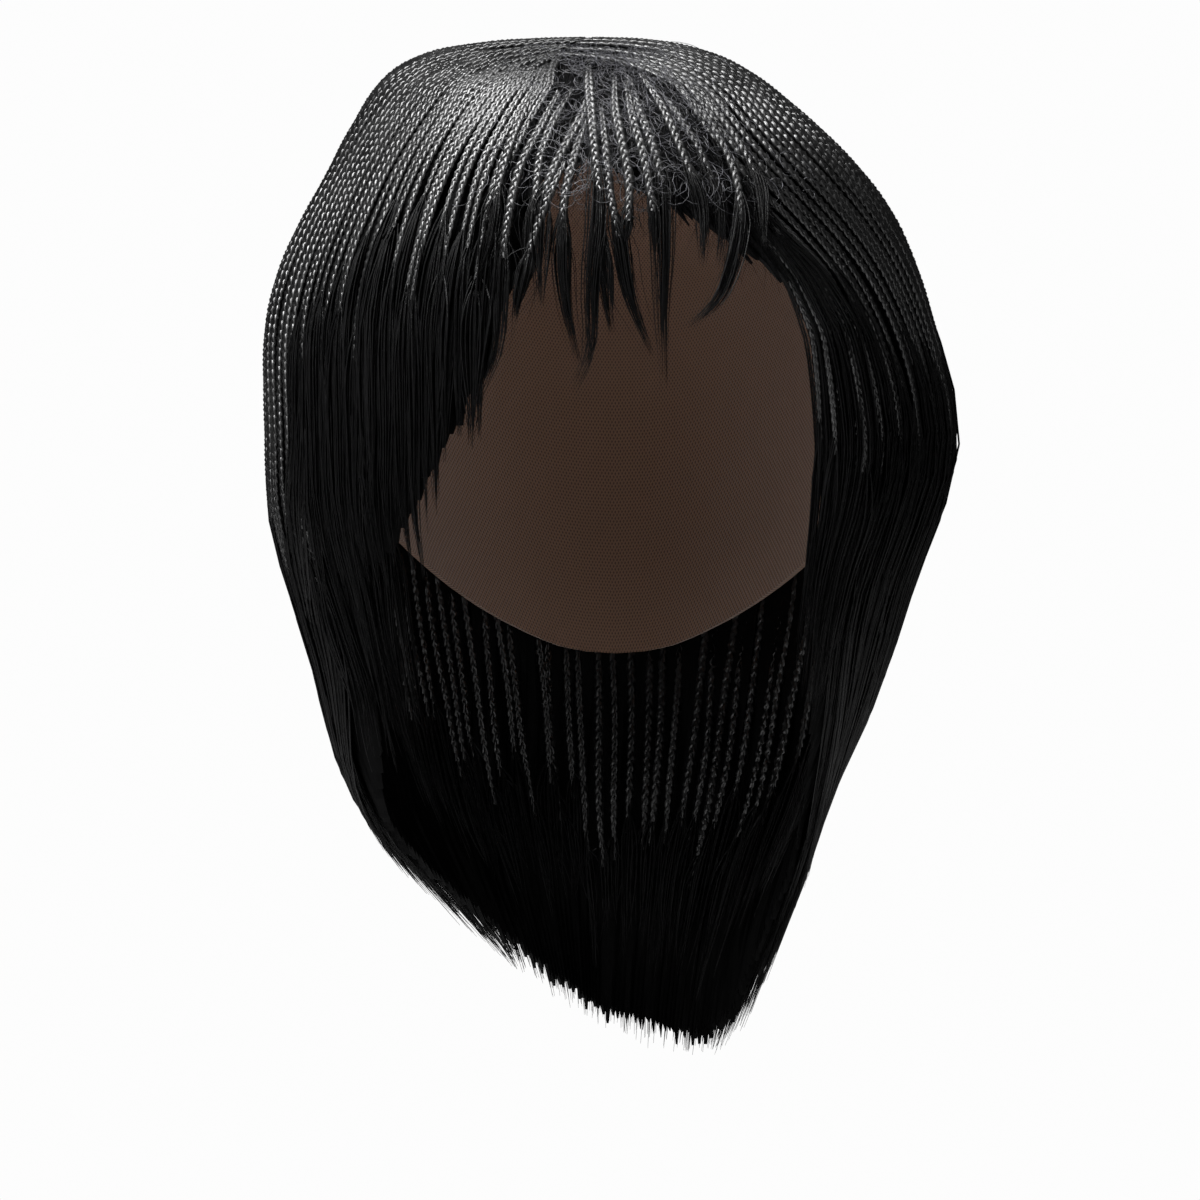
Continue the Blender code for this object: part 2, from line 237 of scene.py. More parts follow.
class WigSizes(bpy.types.PropertyGroup):
    plait_width: bpy.props.FloatProperty(
        name="Plait width", description="Width of one plait", default=0.0033, unit="LENGTH")
    plait_turn: bpy.props.FloatProperty(
        name="Plait turn", description="Length in which a strand crosses over and back",
        default=0.0082, unit="LENGTH")
    strand_radius: bpy.props.FloatProperty(
        name="Strand radius", description="Radius of one of a plait's three strands",
        default=0.0009, unit="LENGTH")
    hair_radius: bpy.props.FloatProperty(
        name="Loose hair radius", description="Radius of one loose lock of hair",
        default=0.00028, unit="LENGTH")
    fuzz_radius: bpy.props.FloatProperty(
        name="Fuzz radius", description="Radius of one flyaway hair", default=0.00009,
        unit="LENGTH")
    plaits_left: bpy.props.IntProperty(
        name="Left plaits", description="Plaits in the left layer", default=39)
    plaits_back: bpy.props.IntProperty(
        name="Back plaits", description="Plaits in the back layer", default=45)
    plaits_right: bpy.props.IntProperty(
        name="Right plaits", description="Plaits in the right layer", default=48)
    plaits_front_left: bpy.props.IntProperty(
        name="Front left plaits", description="Plaits over the left of the forehead", default=21)


class WigColours(bpy.types.PropertyGroup):
    hair: bpy.props.FloatVectorProperty(
        name="Hair", description="Colour of the plaited hair", default=(0.0003, 0.0003, 0.00034),
        subtype="COLOR")
    hair_light: bpy.props.FloatVectorProperty(
        name="Hair streak", description="Lighter fibres in the hair",
        default=(0.0016, 0.0016, 0.0018), subtype="COLOR")
    net: bpy.props.FloatVectorProperty(
        name="Cap net", description="Colour of the cap's thread", default=(0.22, 0.115, 0.068),
        subtype="COLOR")
    net_dark: bpy.props.FloatVectorProperty(
        name="Net holes", description="Colour between the threads", default=(0.075, 0.038, 0.023),
        subtype="COLOR")


# Materials

def node(tree, kind, place=(0, 0), feeds=None, **values):
    """A new node with its settings; feeds gives each input a value or an output to link."""
    made = tree.nodes.new(kind)
    made.location = place
    for key, value in values.items():
        setattr(made, key, value)
    for socket, value in (feeds or {}).items():
        if isinstance(value, bpy.types.NodeSocket):
            tree.links.new(value, made.inputs[socket])
        else:
            made.inputs[socket].default_value = value
    return made


def feed(tree, target, **feeds):
    """Links outputs to a node's named inputs."""
    for name, value in feeds.items():
        tree.links.new(value, target.inputs[name.replace("_", " ")])


def fibre_group():
    """Shared fibre look: streaks of lighter and rougher hair, and a fine height."""
    name = "hair_fibre"
    if name in bpy.data.node_groups:
        return bpy.data.node_groups[name]
    tree = bpy.data.node_groups.new(name, "ShaderNodeTree")
    for in_out, labels in (
            ("INPUT", {"Vector": "Vector", "Dark": "Color", "Light": "Color", "Scale": "Float",
                       "Smooth": "Float", "Rough": "Float"}),
            ("OUTPUT", {"Colour": "Color", "Roughness": "Float", "Height": "Float"})):
        for label, kind in labels.items():
            tree.interface.new_socket(label, in_out=in_out, socket_type="NodeSocket" + kind)
    start = node(tree, "NodeGroupInput", (-700, 0)).outputs
    fine = node(tree, "ShaderNodeTexNoise", (-450, 150),
                {"Vector": start["Vector"], "Scale": start["Scale"], "Detail": 3.0})
    shrink = node(tree, "ShaderNodeMath", (-600, -250), {0: start["Scale"], 1: 0.09},
                  operation="MULTIPLY")
    broad = node(tree, "ShaderNodeTexNoise", (-450, -150),
                 {"Vector": start["Vector"], "Scale": shrink.outputs[0], "Detail": 1.0})
    ramp = node(tree, "ShaderNodeMapRange", (-200, 150),
                {"Value": fine.outputs["Fac"], "From Min": 0.35, "From Max": 0.75})
    mix = node(tree, "ShaderNodeMix", (100, 150),
               {"Factor": ramp.outputs["Result"], "A": start["Dark"], "B": start["Light"]},
               data_type="RGBA")
    rough = node(tree, "ShaderNodeMapRange", (100, -150),
                 {"Value": broad.outputs["Fac"], "From Min": 0.3, "From Max": 0.7,
                  "To Min": start["Smooth"], "To Max": start["Rough"]})
    node(tree, "NodeGroupOutput", (500, 0),
         {"Colour": mix.outputs["Result"], "Roughness": rough.outputs["Result"],
          "Height": fine.outputs["Fac"]})
    return tree


def relief(tree, shader, height, strength, distance):
    """Fine relief under the surface's light."""
    bump = node(tree, "ShaderNodeBump", (-200, -250),
                {"Strength": strength, "Distance": distance, "Height": height})
    feed(tree, shader, Normal=bump.outputs["Normal"])


def hair_material(name, smooth, rough, scale, bump, lighten=1.0, stretch=(1.0, 1.0, 0.22),
                  shine=0.5):
    """Black synthetic hair with streaks; stretch squeezes the streaks along the hang."""
    if name in bpy.data.materials:
        return bpy.data.materials[name]
    colours = bpy.context.scene.wig_colours
    material = bpy.data.materials.new(name)
    material.use_nodes = True
    tree = material.node_tree
    shader = tree.nodes["Principled BSDF"]
    place = node(tree, "ShaderNodeTexCoord", (-900, 0))
    mapping = node(tree, "ShaderNodeMapping", (-700, 0),
                   {"Vector": place.outputs["Object"], "Scale": stretch})
    # The streaks are the streak colour times lighten: near 1 this is the hair's own random tone, the
    # under-layer hair's 0.5 is painted shade and the flyaways' 70 is painted sheen.
    light = tuple(c * lighten for c in colours.hair_light) + (1.0,)
    fibre = node(tree, "ShaderNodeGroup", (-450, 0),
                 {"Vector": mapping.outputs["Vector"], "Dark": (*colours.hair, 1.0), "Light": light,
                  "Scale": scale, "Smooth": smooth, "Rough": rough}, node_tree=fibre_group())
    feed(tree, shader, Base_Color=fibre.outputs["Colour"], Roughness=fibre.outputs["Roughness"])
    relief(tree, shader, fibre.outputs["Height"], bump, 0.0004)
    shader.inputs["Specular IOR Level"].default_value = shine
    return material


def plait_finish():
    return hair_material("plaited_hair", 0.34, 0.45, 1400.0, 0.3, shine=0.7)


def shaded_finish():
    return hair_material("shaded_plaits", 0.42, 0.55, 1400.0, 0.3, shine=0.1)


def tip_finish():
    return hair_material("loose_tips", 0.34, 0.46, 3500.0, 0.6, 1.2, (1.0, 1.0, 0.06), shine=0.13)


def net_material():
    """Knitted stretch net: crossing threads with dark holes, on the cap's own map."""
    name = "knitted_net"
    if name in bpy.data.materials:
        return bpy.data.materials[name]
    colours = bpy.context.scene.wig_colours
    material = bpy.data.materials.new(name)
    material.use_nodes = True
    tree = material.node_tree
    shader = tree.nodes["Principled BSDF"]
    place = node(tree, "ShaderNodeTexCoord", (-1200, 0))
    waves = []
    for i, slant in enumerate((32, -32)):
        mapping = node(tree, "ShaderNodeMapping", (-1000, -250 * i),
                       {"Vector": place.outputs["UV"], "Rotation": (0.0, 0.0, math.radians(slant))})
        waves.append(node(tree, "ShaderNodeTexWave", (-780, -250 * i),
                          {"Vector": mapping.outputs["Vector"], "Scale": 330.0, "Distortion": 0.5,
                           "Detail": 1.0}, wave_type="BANDS", bands_direction="X").outputs["Fac"])
    thread = node(tree, "ShaderNodeMath", (-550, -100), {0: waves[0], 1: waves[1]},
                  operation="MAXIMUM")
    edge = node(tree, "ShaderNodeMapRange", (-350, -100),
                {"Value": thread.outputs[0], "From Min": 0.45, "From Max": 0.9})
    mix = node(tree, "ShaderNodeMix", (-120, 100),
               {"Factor": edge.outputs["Result"], "A": (*colours.net_dark, 1.0),
                "B": (*colours.net, 1.0)}, data_type="RGBA")
    feed(tree, shader, Base_Color=mix.outputs["Result"])
    relief(tree, shader, edge.outputs["Result"], 0.7, 0.0005)
    shader.inputs["Roughness"].default_value = 0.72
    shader.inputs["Sheen Weight"].default_value = 0.25
    return material


# Trees that make plaits and loose hair from guide lines

def group_shell(name, sockets):
    tree = bpy.data.node_groups.new(name, "GeometryNodeTree")
    tree.interface.new_socket("Geometry", in_out="INPUT", socket_type="NodeSocketGeometry")
    for label, kind, default in sockets:
        socket = tree.interface.new_socket(label, in_out="INPUT", socket_type=kind)
        if default is not None:
            socket.default_value = default
    tree.interface.new_socket("Geometry", in_out="OUTPUT", socket_type="NodeSocketGeometry")
    return tree


def carried(tree, name, place, kind="FLOAT"):
    """A value that the guide lines carry at each point."""
    return node(tree, "GeometryNodeInputNamedAttribute", place, {"Name": name},
                data_type=kind).outputs["Attribute"]


def plait_tree():
    """Three strands that cross over each other along every guide line."""
    name = "three_strand_plait"
    if name in bpy.data.node_groups:
        return bpy.data.node_groups[name]
    tree = group_shell(name, [
        ("Step", "NodeSocketFloat", 0.0014),
        ("Turn", "NodeSocketFloat", 0.0082),
        ("Swing", "NodeSocketFloat", 0.0008),
        ("Depth", "NodeSocketFloat", 0.00045),
        ("Strand Radius", "NodeSocketFloat", 0.0007),
        ("Sides", "NodeSocketInt", 4),
        ("Finish", "NodeSocketMaterial", None),
    ])

    def maths(operation, place, *given):
        feeds = dict(enumerate(given))
        return node(tree, "ShaderNodeMath", place, feeds, operation=operation).outputs[0]

    def vectors(operation, place, first, second=None, scale=None):
        feeds = {0: first, 1: second, "Scale": scale}
        feeds = {key: value for key, value in feeds.items() if value is not None}
        return node(tree, "ShaderNodeVectorMath", place, feeds, operation=operation).outputs[0]

    start = node(tree, "NodeGroupInput", (-1600, 0)).outputs
    curve = node(tree, "GeometryNodeMeshToCurve", (-1400, 0), {"Mesh": start["Geometry"]})
    smooth = node(tree, "GeometryNodeCurveSplineType", (-1200, 0),
                  {"Curve": curve.outputs["Curve"]}, spline_type="CATMULL_ROM")
    even = node(tree, "GeometryNodeResampleCurve", (-1000, 0),
                {"Curve": smooth.outputs["Curve"], "Length": start["Step"]}, mode="LENGTH")
    three = node(tree, "GeometryNodeDuplicateElements", (-800, 0),
                 {"Geometry": even.outputs["Curve"], "Amount": 3}, domain="SPLINE")
    spline = node(tree, "GeometryNodeSplineParameter", (-1000, -300))
    turns = maths("DIVIDE", (-800, -300), spline.outputs["Length"], start["Turn"])
    third = maths("DIVIDE", (-800, -480), three.outputs["Duplicate Index"], 3.0)
    turns = maths("ADD", (-600, -300), turns, third)
    turns = maths("ADD", (-450, -300), turns, carried(tree, "turn_start", (-1000, -480)))
    circle = maths("MULTIPLY", (-300, -300), turns, 2 * math.pi)
    double = maths("MULTIPLY", (-150, -420), circle, 2.0)
    swing = maths("MULTIPLY", (150, -300), maths("SINE", (0, -300), circle), start["Swing"])
    depth = maths("MULTIPLY", (150, -420), maths("SINE", (0, -420), double), start["Depth"])
    tangent = node(tree, "GeometryNodeInputTangent", (-300, -860)).outputs["Tangent"]
    outward = carried(tree, "outward", (-300, -980), "FLOAT_VECTOR")
    across = vectors("CROSS_PRODUCT", (-50, -860), tangent, outward)
    across = vectors("NORMALIZE", (100, -860), across)
    away = vectors("NORMALIZE", (100, -1000), outward)
    sideways = vectors("SCALE", (320, -500), across, scale=swing)
    inward = vectors("SCALE", (320, -650), away, scale=depth)
    total = vectors("ADD", (500, -550), sideways, inward)
    width = carried(tree, "width", (-300, -700))
    scaled = vectors("SCALE", (650, -550), total, scale=width)
    move = node(tree, "GeometryNodeSetPosition", (800, 0),
                {"Geometry": three.outputs["Geometry"], "Offset": scaled})
    sweep(tree, start, move.outputs["Geometry"], width)
    return tree


def sweep(tree, start, curves, width):
    """Sweeps a round strand along the curves, gives it its finish and ends the tree."""
    ring = node(tree, "GeometryNodeCurvePrimitiveCircle", (800, -250),
                {"Resolution": start["Sides"], "Radius": 1.0})
    size = node(tree, "ShaderNodeMath", (800, -400), {0: start["Strand Radius"], 1: width},
                operation="MULTIPLY")
    mesh = node(tree, "GeometryNodeCurveToMesh", (1000, 0),
                {"Curve": curves, "Profile Curve": ring.outputs["Curve"], "Scale": size.outputs[0],
                 "Fill Caps": True})
    shade = node(tree, "GeometryNodeSetShadeSmooth", (1100, 150), {"Geometry": mesh.outputs["Mesh"]})
    real = node(tree, "GeometryNodeRealizeInstances", (1200, 0),
                {"Geometry": shade.outputs["Geometry"]})
    finish = node(tree, "GeometryNodeSetMaterial", (1300, 150),
                  {"Geometry": real.outputs["Geometry"], "Material": start["Finish"]})
    node(tree, "NodeGroupOutput", (1500, 0), {"Geometry": finish.outputs["Geometry"]})


def loose_tree():
    """Thin closed hairs swept along guide lines, tapered by their width."""
    name = "loose_hair"
    if name in bpy.data.node_groups:
        return bpy.data.node_groups[name]
    tree = group_shell(name, [
        ("Strand Radius", "NodeSocketFloat", 0.0003),
        ("Sides", "NodeSocketInt", 3),
        ("Finish", "NodeSocketMaterial", None),
    ])
    start = node(tree, "NodeGroupInput", (-400, 0)).outputs
    curve = node(tree, "GeometryNodeMeshToCurve", (-100, 0), {"Mesh": start["Geometry"]})
    sweep(tree, start, curve.outputs["Curve"], carried(tree, "width", (300, -400)))
    return tree


def guide_object(name, guides):
    """Guide lines as edges. A guide is (points, outward vectors, widths, turn_start), in mm."""
    points, edges, outward, widths, turns = [], [], [], [], []
    for line, out, width, turn in guides:
        base = len(points)
        points.extend(p * MM for p in line)
        edges.extend((base + i, base + i + 1) for i in range(len(line) - 1))
        outward.extend(out)
        widths.extend(width)
        turns.extend([turn] * len(line))
    mesh = bpy.data.meshes.new(name)
    mesh.from_pydata(points, edges, [])
    layer = mesh.attributes.new("outward", "FLOAT_VECTOR", "POINT")
    layer.data.foreach_set("vector", np.array([tuple(v) for v in outward], np.float32).ravel())
    layer = mesh.attributes.new("width", "FLOAT", "POINT")
    layer.data.foreach_set("value", np.array(widths, np.float32))
    layer = mesh.attributes.new("turn_start", "FLOAT", "POINT")
    layer.data.foreach_set("value", np.array(turns, np.float32))
    obj = bpy.data.objects.new(name, mesh)
    bpy.context.scene.collection.objects.link(obj)
    return obj


def grow_piece(name, guides, tree, **inputs):
    """Runs a tree on the guides and leaves a plain mesh in place of the guide lines."""
    obj = guide_object(name, guides)
    modifier = obj.modifiers.new("grow", "NODES")
    modifier.node_group = tree
    idents = {item.name: item.identifier for item in tree.interface.items_tree
              if item.in_out == "INPUT"}
    for label, value in inputs.items():
        modifier[idents[label.replace("_", " ")]] = value
    graph = bpy.context.evaluated_depsgraph_get()
    mesh = bpy.data.meshes.new_from_object(obj.evaluated_get(graph))
    old = obj.data
    obj.modifiers.clear()
    obj.data = mesh
    mesh.name = name
    bpy.data.meshes.remove(old)
    for extra in ("outward", "turn_start", "width"):
        if extra in mesh.attributes:
            mesh.attributes.remove(mesh.attributes[extra])
    if not mesh.polygons:
        raise RuntimeError(name + " came out empty")
    return obj


def plaits(name, guides, finish, sides, pace):
    sizes = bpy.context.scene.wig_sizes
    swing = sizes.plait_width / 2 - sizes.strand_radius
    return grow_piece(name, guides, plait_tree(), Step=pace, Turn=sizes.plait_turn, Swing=swing,
                      Depth=swing * 0.55, Strand_Radius=sizes.strand_radius, Sides=sides,
                      Finish=finish)


def loose(name, guides, finish, radius):
    return grow_piece(name, guides, loose_tree(), Strand_Radius=radius, Sides=3, Finish=finish)


def keep(obj, slot, *nodes):
    """Fixes a finished piece to the wig and hides the solids that it stands for."""
    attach(obj, BODY)
    if nodes:
        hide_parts(*nodes)


# Guide lines

def outward_at(angle, row):
    """The hair surface's outward direction."""
    here = outer(angle, row)
    across = outer(angle + 1.0, row) - outer(angle - 1.0, row)
    down = outer(angle, row + 0.08) - outer(angle, max(row - 0.08, 0.02))
    normal = across.cross(down)
    if normal.length < 1e-6:
        return Vector((0, 0, 1))
    normal.normalize()
    away = here - Vector((CENTRE.x, CENTRE.y, -60.0))
    return normal if normal.dot(away) > 0 else -normal


def part_shift(along_part, row):
    """Moves the roots from the sections' axis to the parting, whose ends are 0 back and 1 front."""
    root = WHORL.lerp(PART_FRONT, along_part)
    return Vector((root.x - CENTRE.x, root.y - CENTRE.y, 0.0)) * max(0.0, 1.0 - row / 4.0) ** 1.3


def from_parting(point):
    """Distance in plan from the parting line."""
    run = PART_FRONT - WHORL
    share = min(max((point.xy - WHORL).dot(run) / run.length_squared, 0.0), 1.0)
    return (point.xy - WHORL - run * share).length


def dome_height(x, y):
    """Height of the outer surface over a point near the crown."""
    low, high = 0.0, 8.0
    for _ in range(16):
        row = (low + high) / 2
        left, right, front, back = section(row)[1:5]
        rx = (right - CENTRE.x) if x > CENTRE.x else (CENTRE.x - left)
        ry = (back - CENTRE.y) if y > CENTRE.y else (CENTRE.y - front)
        inside = ((x - CENTRE.x) / max(rx, 0.01)) ** 2 + ((y - CENTRE.y) / max(ry, 0.01)) ** 2 < 1.0
        if inside:
            high = row
        else:
            low = row
    return section(low)[0]


def strand_line(angle_at, first, last, depth, seed, along_part=0.0, tuck=0.0):
    """Points and outward vectors of a plait that follows the surface from row to row.

    angle_at gives the angle for a row; depth is how far under the surface it runs;
    along_part is where on the parting its root would be.
    """
    count = max(6, int((last - first) * 3.6))
    line, out = [], []
    for i in range(count + 1):
        row = first + (last - first) * i / count
        wave = noise.noise(Vector((seed * 7.13, row * 0.2, 1.7)))
        angle = angle_at(row) + wave * step(0.5, 5.0, row)
        lift = noise.noise(Vector((seed * 5.3, row * 0.4, 4.4))) * 0.7
        sunk = tuck * (1.0 - step(0.0, 1.4, row - first))
        point = outer(angle, row, -depth - sunk + lift)
        if row < 4.2:
            point = point + part_shift(along_part, row)
            point.z = dome_height(point.x, point.y) - depth - sunk
        line.append(point)
        out.append(outward_at(angle, row))
    for _ in range(4):
        middle = [(a + b * 2.0 + c) / 4.0 for a, b, c in zip(line, line[1:], line[2:])]
        line = [line[0]] + middle + [line[-1]]
    return line, out


def at(points, s):
    i = min(max(int(s), 0), len(points) - 2)
    return points[i].lerp(points[i + 1], min(max(s - i, 0.0), 1.0))


def lock(strand, hairs, fan, seed, back=(1.0, 3.0), ends=(0.55, 1.0), points=8, pinch=0.55,
         thick=1.0, lift=0.3, taper=3.6):
    """The loose tapered hairs that a plait ends in, which follow its line to the tip."""
    line, out, cut = strand
    local = random.Random(seed)
    last = len(line) - 1
    made = []
    for _ in range(hairs):
        begin = max(cut - local.uniform(*back), 0.0)
        stop = cut + (last - cut) * local.uniform(*ends)
        sideways, lifted = local.gauss(0, 0.5) * fan, local.gauss(0, lift) * fan
        bow = local.gauss(0, 0.3) * fan
        hair, normals, widths = [], [], []
        for k in range(points):
            t = k / (points - 1)
            s = begin + (stop - begin) * t ** 1.25
            normal = at(out, s).normalized()
            ahead = at(line, min(s + 0.5, last)) - at(line, max(s - 0.5, 0.0))
            side = ahead.cross(normal).normalized()
            shape = min(1.0, 0.2 + 2.4 * t) * (1.0 - pinch * t)
            across = side * (sideways * shape + bow * math.sin(3.1 * t))
            hair.append(at(line, s) + across + normal * lifted * shape)
            normals.append(normal)
            widths.append(thick * max(0.12, 1.0 - t ** taper))
        made.append((hair, normals, widths, 0.0))
    return made


def swept(base):
    """How a strand runs above the ears: its turn by row, and its root's place on the parting."""
    a = base % 360
    if a > 300 or a < 90:
        a = a - 360 if a > 300 else a
        return lambda row: 0.0, 1.0 - step(-44, 50, a)
    turn = 9.0 * step(120, 195, a)
    return lambda row: turn * (1.0 - step(2.9, 6.6, row)), step(118, 236, a)


def hem_turn(base):
    """How far a strand swings back along the hem at its tip, so that the edge is smooth."""
    if base > 128.0:
        return -26.0 * step(118, 160, base) * (1.0 - step(206, 212, base))
    return 20.0 * (1.0 - step(10, 52, base))


def layer(count, angles, hem, plaited_to, seed, starts, jitter=3.0, uneven=1.7, paired=True):
    """Strands of one hair layer: count plaits between two angle functions, hung to the hem.

    Of a paired layer's strands every third is sunk, between its neighbours.
    """
    lines = []
    low, high = angles
    for i in range(count):
        sunk = paired and i % 3 == 2
        u = ((i + 0.5) / count if not paired else (i // 3 + (0.25, 0.75, 0.5)[i % 3]) * 3 / count)
        u += rng.uniform(-0.22, 0.22) / count
        rough = low(EAR_ROW) + (high(EAR_ROW) - low(EAR_ROW)) * u
        swing = hem_turn(rough)
        hang = hem(rough + swing) - 10.0 + rng.uniform(-jitter, jitter)
        if paired and i % 6 == 0:
            hang += rng.uniform(15.0, 55.0)
        last = row_of(max(hang, LOWEST_HEM))
        first = starts[i % len(starts)] + rng.uniform(0.0, 0.12)
        sweep_at, root = swept(rough)

        def path(row):
            back = swing * min(max((row - last + 4.0) / 4.0, 0.0), 1.0) ** 2
            return low(row) + (high(row) - low(row)) * u + sweep_at(row) + back

        depth = (3.6 if sunk else 1.5) + rng.uniform(-0.3, 0.3)
        tuck = 0.0 if i % len(starts) == 0 else 3.2
        line, out = strand_line(path, first, last, depth, seed + i, root, tuck)
        stop = min(plaited_to(rough) + rng.uniform(-uneven, uneven), last - 1.2)
        lines.append((line, out, int((stop - first) / (last - first) * (len(line) - 1))))
    return lines


def plait_guides(lines, taper=0.5, width=1.0, root=0.72, grown=0.14):
    """Guides of the plaited parts, thin at the root and at the end of the plait."""
    made = []
    for line, out, cut in lines:
        widths = []
        for i in range(cut + 1):
            t = i / cut
            thin = root + (1.0 - root) * step(0.0, grown, t)
            widths.append(width * thin * (1.0 - (1.0 - taper) * step(0.7, 1.0, t)))
        made.append((line[:cut + 1], out[:cut + 1], widths, rng.random()))
    return made


# Hair layers under the plaits

def finish_mesh(name, bm, material):
    bmesh.ops.recalc_face_normals(bm, faces=bm.faces[:])
    mesh = bpy.data.meshes.new(name)
    bm.to_mesh(mesh)
    bm.free()
    mesh.shade_smooth()
    mesh.set_sharp_from_angle(angle=math.radians(60))
    mesh.materials.append(material)
    obj = bpy.data.objects.new(name, mesh)
    bpy.context.scene.collection.objects.link(obj)
    return obj


def sheet(columns, rows, place, wrap=False):
    """A closed wall: place(across, down, side) gives both sides of it, in millimetres."""
    bm = bmesh.new()
    across = bm.verts.layers.float.new("across")
    down = bm.verts.layers.float.new("down")
    side = bm.verts.layers.float.new("side")
    bmesh.ops.create_grid(bm, x_segments=columns, y_segments=rows, size=0.5)
    for vert in bm.verts:
        vert[across] = vert.co.x + 0.5
        vert[down] = 0.5 - vert.co.y
        vert[side] = 0.0
    uv = bm.loops.layers.uv.new("UVMap")
    for face in bm.faces:
        for loop in face.loops:
            loop[uv].uv = (loop.vert[across], loop.vert[down])
    if wrap:
        for vert in bm.verts:
            vert.co = place(vert[across], vert[down], 0.0) * MM
        bmesh.ops.remove_doubles(bm, verts=bm.verts[:], dist=0.00002)
    made = bmesh.ops.extrude_face_region(bm, geom=bm.faces[:], use_keep_orig=True)
    for item in made["geom"]:
        if isinstance(item, bmesh.types.BMVert):
            item[side] = 1.0
    for vert in bm.verts:
        vert.co = place(vert[across], vert[down], vert[side] > 0.5) * MM
    return bm, uv


def scale_uv(bm, uv, wide, tall):
    for face in bm.faces:
        for loop in face.loops:
            loop[uv].uv = (loop[uv].uv[0] * wide, loop[uv].uv[1] * tall)


def under_layer(name, low, high, hem, ridges, material, outer_in=5.0, rows=40, drop=6.0,
                raise_hem=-3.0):
    """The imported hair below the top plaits: ridged like rows of plaits, ragged at the hem."""
    local = random.Random(len(name) * 71 + ridges)
    tips = [local.uniform(0.2, 1.0) for _ in range(ridges + 1)]
    deep = [local.uniform(0.4, 1.0) for _ in range(ridges + 1)]

    def place(across, down, side):
        cell = min(int(across * ridges), ridges - 1)
        crest = math.sin(math.pi * (across * ridges - cell))
        rough = low(EAR_ROW) + (high(EAR_ROW) - low(EAR_ROW)) * across
        hang = hem(rough) + raise_hem - drop * tips[cell] * crest
        row = UNDER_TOP + (row_of(max(hang, LOWEST_HEM)) - UNDER_TOP) * down
        angle = low(row) + 0.35 + (high(row) - low(row) - 0.7) * across
        angle += noise.noise(Vector((cell * 1.7, row * 0.3, 2.0))) * 0.6 * down
        grow = -outer_in + 1.5 * deep[cell] * crest - 2.2 * step(0.75, 1.0, down)
        near = outer(angle, row, grow)
        if not side:
            return near
        taper = 1.0 - 0.86 * step(0.62, 1.0, down)
        return near.lerp(inner(angle, row, 0.15), taper)

    bm, uv = sheet(ridges * 2, rows, place)
    scale_uv(bm, uv, ridges, 60.0)
    return finish_mesh(name, bm, material)


# Operators

class WIG_OT_cap(bpy.types.Operator):
    """Make the net cap that the hair is fixed to"""
    bl_idname = "wig.cap"
    bl_label = "Net cap"

    def execute(self, context):
        def place(across, down, side):
            angle = across * 360.0 - 90.0
            row = row_of(cap_edge(angle), 5) * down
            hem = 0.35 * step(0.965, 0.985, down)
            return inner(angle, row, -CAP_GAP + 0.1 + hem - (CAP_WALL - 0.1 + 2 * hem) * side)

        bm, uv = sheet(96, 36, place, wrap=True)
        scale_uv(bm, uv, 0.50, 0.24)
        keep(finish_mesh("cap_shell", bm, net_material()), "cap_net", "cap")
        return {"FINISHED"}


class WIG_OT_layers(bpy.types.Operator):
    """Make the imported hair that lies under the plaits"""
    bl_idname = "wig.layers"
    bl_label = "Under layers"

    def execute(self, context):
        # Painted shade: the hair under the plaits gets half-bright streaks and almost no shine, so
        # that it reads black, like the shadowed gaps between plaits.
        dark = hair_material("packed_hair", 0.5, 0.7, 900.0, 0.4, 0.5, shine=0.04)
        for side, low, high, ridges in (("left", straight(128.0), straight(204.0), 44),
                                        ("back", straight(52.0), straight(128.0), 44),
                                        ("right", right_edge, straight(52.0), 50)):
            layer_below = under_layer("under_" + side, low, high, long_hem, ridges, dark)
            keep(layer_below, "braid_" + side, "hair_" + side)
        sweep_below = under_layer("under_front_left", straight(204.0), straight(250.0),
                                  hem_of(FRONT_LEFT_HEM), 26, dark, rows=24, raise_hem=12.0)
        keep(sweep_below, "braid_front_left", "hair_front_left")

        def crown(across, down, side):
            angle = across * 360.0 - 90.0
            row = 3.4 * down
            if side:
                return inner(angle, row, 0.15)
            point = outer(angle, row, -4.6)
            point.z += 2.4 * (1.0 - step(2.0, 10.0, from_parting(point)))
            point.z += 0.5 * math.sin(across * 2 * math.pi * 60) * step(0.1, 0.6, down)
            return point

        bm, uv = sheet(160, 12, crown, wrap=True)
        scale_uv(bm, uv, 60.0, 10.0)
        keep(finish_mesh("under_crown", bm, dark), "braid_crown", "hair_crown")
        return {"FINISHED"}


